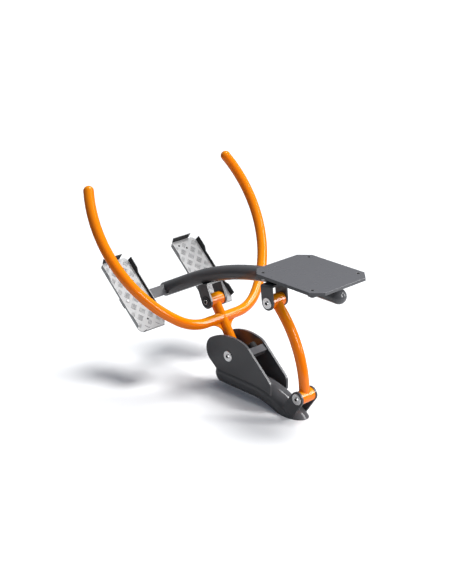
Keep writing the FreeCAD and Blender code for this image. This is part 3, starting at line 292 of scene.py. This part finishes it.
def zinc_plate():
    """Zinc-plated screws with faint spangles; the sockets of the seat screws are painted dark as shade."""
    painted_socket_shade_edge = (0.0067, 0.0073)
    steel = Finish("zinc_plate", Metallic=0.4)
    x, y, _ = steel.axes(steel.place())
    off_x = (x - SEAT_CENTRE).calc("ABSOLUTE") - SEAT_SCREW_REACH
    off_y = y.calc("ABSOLUTE") - SEAT_SCREW_REACH
    # Painted shade: the socket of each seat screw is coloured near black.
    socket = 1.0 - steel.step((off_x * off_x + off_y * off_y).calc("SQRT"), *painted_socket_shade_edge)
    spangle = steel.step(steel.cloud(per_metre=260.0, detail=3.0), low=0.35, high=0.7)
    plated = steel.between(spangle, rgb(0.62, 0.62, 0.63), rgb(0.74, 0.74, 0.75))
    steel.feed("Base Color", steel.between(socket, plated, grey(0.012)))
    steel.feed("Roughness", steel.span(spangle, 0.5, 0.4))
    return steel.material


def tread_sheet(name, dull, bright):
    """Mill-finish aluminium with a rolled grain.

    The lean of the surface to the sheet tells its parts apart: the insides of the upturned sides are
    painted near black as shade, and the underside and the outsides are painted an even, duller grey that
    stands for how they catch the light.
    """
    painted_shade_black = rgb(0.012, 0.012, 0.014)
    painted_outside_grey = rgb(0.42, 0.425, 0.43)
    bare_metal = 0.2
    along_grain = (1.0, 0.08, 1.0)
    grain_depth = 0.00005
    sheet = Finish(name)
    turned = sheet.node("ShaderNodeMapping", {"vector_type": "POINT"},
                        {"Vector": sheet.facing(), "Rotation": (0.0, -FOOT_TILT, 0.0)})
    above = sheet.axes(turned)[2]
    # Painted shade: the insides of the upturned sides are coloured near black; painted light: the underside
    # and outsides get a flat grey, not bare metal.
    inner = sheet.step(above, low=0.03, high=0.09) * (1.0 - sheet.step(above, low=0.75, high=0.92))
    outer = 1.0 - sheet.step(above, low=-0.03, high=0.03)
    worn = sheet.between(sheet.cloud(per_metre=45.0, detail=4.0), rgb(*dull), rgb(*bright))
    metal = sheet.between(outer, worn, painted_outside_grey)
    sheet.feed("Base Color", sheet.between(inner, metal, painted_shade_black))
    sheet.feed("Metallic", (1.0 - inner) * (1.0 - outer) * bare_metal)
    sheet.feed("Roughness", sheet.span(sheet.cloud(per_metre=160.0), 0.42, 0.52))
    sheet.relief(sheet.cloud(per_metre=900.0, rough=0.6, stretch=along_grain), grain_depth)
    return sheet.material


def black_rubber():
    """Moulded rubber with a dry bloom."""
    pore_depth = 0.00008
    rubber = Finish("buffer_rubber", Specular_IOR_Level=0.3)
    bloom = rubber.cloud(per_metre=70.0, detail=4.0)
    rubber.feed("Base Color", rubber.between(bloom, rgb(0.010, 0.010, 0.011), rgb(0.032, 0.031, 0.030)))
    rubber.feed("Roughness", rubber.span(bloom, 0.6, 0.8))
    rubber.relief(rubber.cloud(per_metre=900.0), pore_depth)
    return rubber.material


def bearing_plastic():
    """Grey-black bearing plastic with a faint polish."""
    plastic = Finish("bearing_plastic", Specular_IOR_Level=0.4)
    tone = plastic.cloud(per_metre=120.0)
    plastic.feed("Base Color", plastic.between(tone, rgb(0.018, 0.018, 0.020), rgb(0.035, 0.035, 0.038)))
    plastic.feed("Roughness", plastic.span(tone, 0.38, 0.53))
    return plastic.material


# Each coat's second colour is painted light: the lighter tone its upper side shows under the lamp above.
ORANGE = powder_coat("orange_powder_coat", shaded=(0.98, 0.20, 0.0006), painted_lit_top=(0.90, 0.292, 0.0008),
                     gloss=0.08, dull=0.11, specular=0.34, dusty=0.004)
GREY = powder_coat("grey_powder_coat", shaded=(0.085, 0.086, 0.092), painted_lit_top=(0.114, 0.115, 0.123),
                   gloss=0.13, dull=0.18, specular=0.36, dusty=0.015)
SEAT_GREY = powder_coat("seat_powder_coat", shaded=(0.092, 0.093, 0.100), painted_lit_top=(0.119, 0.120, 0.131),
                        gloss=0.24, dull=0.32, specular=0.5, dusty=0.015)
STEEL = turned_steel()
TREAD = tread_sheet("tread_aluminium", dull=(0.365, 0.368, 0.371), bright=(0.425, 0.428, 0.431))
# The bars take a darker copy of the sheet's finish: painted shade on the raised bars.
SHADED_TREAD_BAR = tread_sheet("tread_bar_painted_shade_aluminium", dull=(0.26, 0.263, 0.268), bright=(0.31, 0.313, 0.318))
RUBBER = black_rubber()
BEARING = bearing_plastic()
ZINC = zinc_plate()
FINISH_OF_SLOT = {"orange_paint": ORANGE, "grey_paint": GREY, "stainless": STEEL,
                  "checker_plate": TREAD, "rubber": RUBBER, "bush_plastic": BEARING}
FINISH_OF_NODE = {"seat_screws": ZINC, "footplate_screws": ZINC, "seat_board": SEAT_GREY}

for part in frame["record"]["subparts"]:
    mesh = nodes[part["node"]].data
    mesh.materials.clear()
    mesh.materials.append(FINISH_OF_NODE.get(part["node"], FINISH_OF_SLOT[part["material_slot"]]))


def new_piece(name, points, faces, finish, body):
    """A mesh piece at the origin with its place in its points, riding on a body of the machine."""
    mesh = bpy.data.meshes.new(name)
    mesh.from_pydata(points.tolist(), [], faces)
    mesh.update()
    mesh.shade_smooth()
    mesh.materials.append(finish)
    piece = bpy.data.objects.new(name, mesh)
    bpy.context.scene.collection.objects.link(piece)
    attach(piece, body)


def spindle_faces(rings, sides, copies):
    """Faces of copies of a closed spindle, whose points are its rings and then its two end points.

    Quads join neighbouring rings, and a fan of triangles closes each end.
    """
    ring = np.arange(rings - 1)[:, None] * sides
    here = np.arange(sides)
    after = (here + 1) % sides
    corners = [ring + here, ring + after, ring + sides + after, ring + sides + here]
    quads = np.stack(corners, -1).reshape(-1, 4)
    first_end = np.full(sides, rings * sides)
    last_ring = (rings - 1) * sides
    fans = np.concatenate([np.stack([first_end, after, here], -1),
                           np.stack([first_end + 1, last_ring + here, last_ring + after], -1)])
    shift = (np.arange(copies) * (rings * sides + 2))[:, None, None]
    return (quads + shift).reshape(-1, 4).tolist() + (fans + shift).reshape(-1, 3).tolist()


def on_footplate(side, flat, rise):
    """Points in the machine's frame from places along and across a footplate and rises from its underside."""
    return (FOOT_CENTRE + FOOT_ACROSS * side * FOOT_SPACING + flat[..., :1] * FOOT_ALONG
            + flat[..., 1:] * FOOT_ACROSS + rise * FOOT_NORMAL).reshape(-1, 3)


def bar_layout():
    """Middles and directions of the bars: groups of five that turn by a right angle from cell to cell."""
    steps = np.arange(-CELLS_TO_EACH_SIDE, CELLS_TO_EACH_SIDE + 1)
    first = np.stack(np.meshgrid(steps, steps, indexing="ij"), -1).reshape(-1, 2) * CELL_PITCH
    cells = np.concatenate([first, first + CELL_PITCH / 2]) + CELL_START
    leaning = np.repeat([1.0, -1.0], len(first))
    way = np.stack([np.ones(len(cells)), leaning], -1) * math.sqrt(0.5)
    gap_way = np.stack([-way[:, 1], way[:, 0]], -1)
    in_group = np.arange(-BARS_TO_EACH_SIDE, BARS_TO_EACH_SIDE + 1)
    middles = (cells[:, None, :] + gap_way[:, None, :] * (in_group * BAR_GAP)[None, :, None]).reshape(-1, 2)
    way = np.repeat(way, len(in_group), axis=0)

    tips = np.stack([middles + way * BAR_HALF_LENGTH, middles - way * BAR_HALF_LENGTH])
    in_length = (tips[..., 0] > TREAD_TOE_EDGE) & (tips[..., 0] < TREAD_HEEL_EDGE)
    fits = (in_length & (np.abs(tips[..., 1]) < TREAD_SIDE_EDGE)).all(0)

    holes = np.array(SPARE_HOLES + FOOT_SCREWS)
    room = np.array([SPARE_HOLE_ROOM] * len(SPARE_HOLES) + [FOOT_SCREW_ROOM] * len(FOOT_SCREWS))
    offset = middles[:, None, :] - holes[None, :, :]
    run = np.clip((offset * way[:, None, :]).sum(-1), -BAR_HALF_LENGTH, BAR_HALF_LENGTH)
    nearest = np.linalg.norm(offset - way[:, None, :] * run[..., None], axis=-1)
    fits &= (nearest > room).all(1)
    return middles[fits], way[fits]


def tread_bars(name, side):
    """The raised bars of a tread plate.

    A bar of half-length l, half-width w and height h is the surface
        along l sin(pi s / 2), across w c cos(q), up h c max(sin(q), 0), with c = cos(pi s / 2) ** BAR_TAPER,
    for s from -1 to 1 along it and q once round it, so its underside lies flat on the sheet.
    """
    s = np.linspace(-BAR_LAST_STATION, BAR_LAST_STATION, BAR_STATIONS)[:, None]
    q = (np.arange(BAR_SIDES) * (2.0 * math.pi / BAR_SIDES))[None, :]
    c = np.cos(math.pi * s / 2) ** BAR_TAPER
    rings = np.stack([BAR_HALF_LENGTH * np.sin(math.pi * s / 2) + 0 * q, BAR_HALF_WIDTH * c * np.cos(q),
                      BAR_HEIGHT * c * np.maximum(np.sin(q), 0.0)], -1).reshape(-1, 3)
    ends = np.array([[-BAR_HALF_LENGTH, 0.0, 0.0], [BAR_HALF_LENGTH, 0.0, 0.0]])
    shape = np.concatenate([rings, ends])

    middles, way = bar_layout()
    gap_way = np.stack([-way[:, 1], way[:, 0]], -1)
    flat = (middles[:, None, :] + way[:, None, :] * shape[None, :, :1]
            + gap_way[:, None, :] * shape[None, :, 1:2])
    points = on_footplate(side, flat, shape[None, :, 2:] + SHEET)
    faces = spindle_faces(BAR_STATIONS, BAR_SIDES, len(middles))
    new_piece(name, points, faces, SHADED_TREAD_BAR, "beam")


def hole_plugs(name, side):
    """Push-in plugs that close the spare holes of a footplate.

    A plug is a surface of revolution: a stem through the sheet with a low dome on it, whose radius and rise
    go with the sine and cosine of p from a right angle to 0.
    """
    p = np.linspace(math.pi / 2, math.pi / 2 / PLUG_STEPS, PLUG_STEPS)
    radius = np.concatenate([[PLUG_STEM_RADIUS, PLUG_STEM_RADIUS], PLUG_HEAD_RADIUS * np.sin(p)])
    rise = np.concatenate([[PLUG_STEM_END, SHEET], SHEET + PLUG_HEAD_RISE * np.cos(p)])
    q = np.arange(PLUG_SIDES) * (2.0 * math.pi / PLUG_SIDES)
    rings = np.stack([radius[:, None] * np.cos(q), radius[:, None] * np.sin(q), rise[:, None] + 0 * q], -1)
    ends = np.array([[0.0, 0.0, PLUG_STEM_END], [0.0, 0.0, SHEET + PLUG_HEAD_RISE]])
    shape = np.concatenate([rings.reshape(-1, 3), ends])
    flat = np.array(SPARE_HOLES)[:, None, :] + shape[None, :, :2]
    points = on_footplate(side, flat, shape[None, :, 2:])
    faces = spindle_faces(len(radius), PLUG_SIDES, len(SPARE_HOLES))
    new_piece(name, points, faces, RUBBER, "beam")


for foot, turn in (("left", -1.0), ("right", 1.0)):
    tread_bars(foot + "_tread_bars", turn)
    hole_plugs(foot + "_hole_plugs", turn)


def studio_floor():
    """A wide floor, white to the camera with the machine's shadow on it, and duller as a reflector, where a
    pool of light is painted on it: pale near the machine and dark further out.
    """
    mesh = bpy.data.meshes.new("studio_floor")
    corners = [(-FLOOR_REACH, -FLOOR_REACH, 0), (FLOOR_REACH, -FLOOR_REACH, 0),
               (FLOOR_REACH, FLOOR_REACH, 0), (-FLOOR_REACH, FLOOR_REACH, 0)]
    mesh.from_pydata(corners, [], [(0, 1, 2, 3)])
    floor = bpy.data.objects.new("studio_floor", mesh)
    bpy.context.scene.collection.objects.link(floor)

    near_radius = 1.0
    far_radius = 2.6
    far_level = 0.12
    bounced_level = 0.62
    mirrored_level = 0.60
    seen_level = 0.97
    shadow_tint = rgb(0.75, 0.79, 1.0)
    tint_share = 0.04
    pale = Finish("pale_floor")
    seen, mirrored = pale.sight()
    away = pale.node("ShaderNodeVectorMath", {"operation": "LENGTH"}, {0: pale.place()}, "Value")
    # Painted pool of light: to bounced and mirrored rays the floor is pale near the machine and dark beyond.
    far = pale.step(away, near_radius, far_radius)
    bounced_grey = pale.between(far, grey(bounced_level), grey(far_level))
    mirrored_grey = pale.between(far, grey(mirrored_level), grey(far_level))
    bounced = pale.node("ShaderNodeBsdfDiffuse", inputs={"Color": bounced_grey})
    in_mirror = pale.node("ShaderNodeBsdfDiffuse", inputs={"Color": mirrored_grey})
    white = pale.node("ShaderNodeBsdfDiffuse", inputs={"Color": grey(seen_level)})
    glow = pale.node("ShaderNodeEmission", inputs={"Color": shadow_tint, "Strength": 1.0})
    unseen = pale.mixed(mirrored, bounced, in_mirror)
    surface = pale.mixed(seen, unseen, pale.mixed(tint_share, white, glow))
    output = next(n for n in pale.tree.nodes if n.type == "OUTPUT_MATERIAL")
    pale.tree.links.new(surface.socket, output.inputs["Surface"])
    mesh.materials.append(pale.material)


def lamp(name, towards, level, spread):
    """A far lamp in a direction, spread degrees wide, that lights a facing matt white to that level."""
    light = bpy.data.lights.new(name, "SUN")
    light.energy = level * math.pi
    light.angle = math.radians(spread)
    held = bpy.data.objects.new(name, light)
    held.rotation_mode = "QUATERNION"
    held.rotation_quaternion = Vector(towards).to_track_quat("Z", "Y")
    bpy.context.scene.collection.objects.link(held)


def soft_box(name, place, aim, size, radiance):
    """A tall soft box on a stand, as bright as radiance times a white surface, turned to a point."""
    width, height = size
    light = bpy.data.lights.new(name, "AREA")
    light.shape = "RECTANGLE"
    light.size = width
    light.size_y = height
    light.energy = radiance * math.pi * width * height
    held = bpy.data.objects.new(name, light)
    held.location = place
    held.rotation_mode = "QUATERNION"
    held.rotation_quaternion = (Vector(place) - Vector(aim)).to_track_quat("Z", "Y")
    held.visible_camera = False
    bpy.context.scene.collection.objects.link(held)


def studio_light():
    """A broad lamp from above, a weaker one from behind, two tall soft boxes and a dim surround.

    The camera sees the surround white.
    """
    lamp("top_lamp", towards=(0.12, 0.30, 1.0), level=0.93, spread=26.0)
    lamp("back_lamp", towards=(0.68, 0.80, 1.0), level=0.30, spread=20.0)
    soft_box("seat_end_box", place=(1.65, 0.05, 1.15), aim=(0.0, 0.0, 0.45), size=(0.26, 0.8), radiance=22.0)
    soft_box("far_side_box", place=(1.40, 1.45, 0.95), aim=(-0.1, 0.0, 0.35), size=(0.25, 1.0), radiance=18.0)
    world = bpy.data.worlds.new("white_surround")
    world.use_nodes = True
    bpy.context.scene.world = world
    around = Finish.over(world.node_tree)
    seen, mirrored = around.sight()
    dim = around.node("ShaderNodeBackground", inputs={"Color": rgb(0.74, 0.86, 1.0), "Strength": 0.18})
    walls = around.node("ShaderNodeBackground", inputs={"Color": grey(1.0), "Strength": 0.22})
    white = around.node("ShaderNodeBackground", inputs={"Color": grey(1.0), "Strength": 1.0})
    shown = around.mixed(seen, around.mixed(mirrored, dim, walls), white)
    around.node("ShaderNodeOutputWorld", inputs={"Surface": shown}, output=None)


def photo_camera():
    """A long lens from the seat end, on the rower's left, that looks down on the machine."""
    turn = math.radians(CAMERA_TURN)
    rise = math.radians(CAMERA_RISE)
    right = Vector((math.cos(turn), math.sin(turn), 0.0))
    back = Vector((math.sin(turn) * math.cos(rise), -math.cos(turn) * math.cos(rise), math.sin(rise)))
    up = back.cross(right)
    place = Vector(CAMERA_AIM) + back * CAMERA_DISTANCE - right * CAMERA_LEFT - up * CAMERA_DOWN
    camera = bpy.data.cameras.new("photo_camera")
    camera.sensor_width = SENSOR
    camera.lens = FOCAL_PIXELS * SENSOR / PICTURE_HEIGHT
    camera.clip_end = CLIP_END
    eye = bpy.data.objects.new("photo_camera", camera)
    eye.matrix_world = Matrix((
        (right.x, up.x, back.x, place.x),
        (right.y, up.y, back.y, place.y),
        (right.z, up.z, back.z, place.z),
        (0.0, 0.0, 0.0, 1.0),
    ))
    bpy.context.scene.collection.objects.link(eye)
    bpy.context.scene.camera = eye


studio_floor()
studio_light()
photo_camera()
bpy.context.scene.view_settings.view_transform = "Standard"
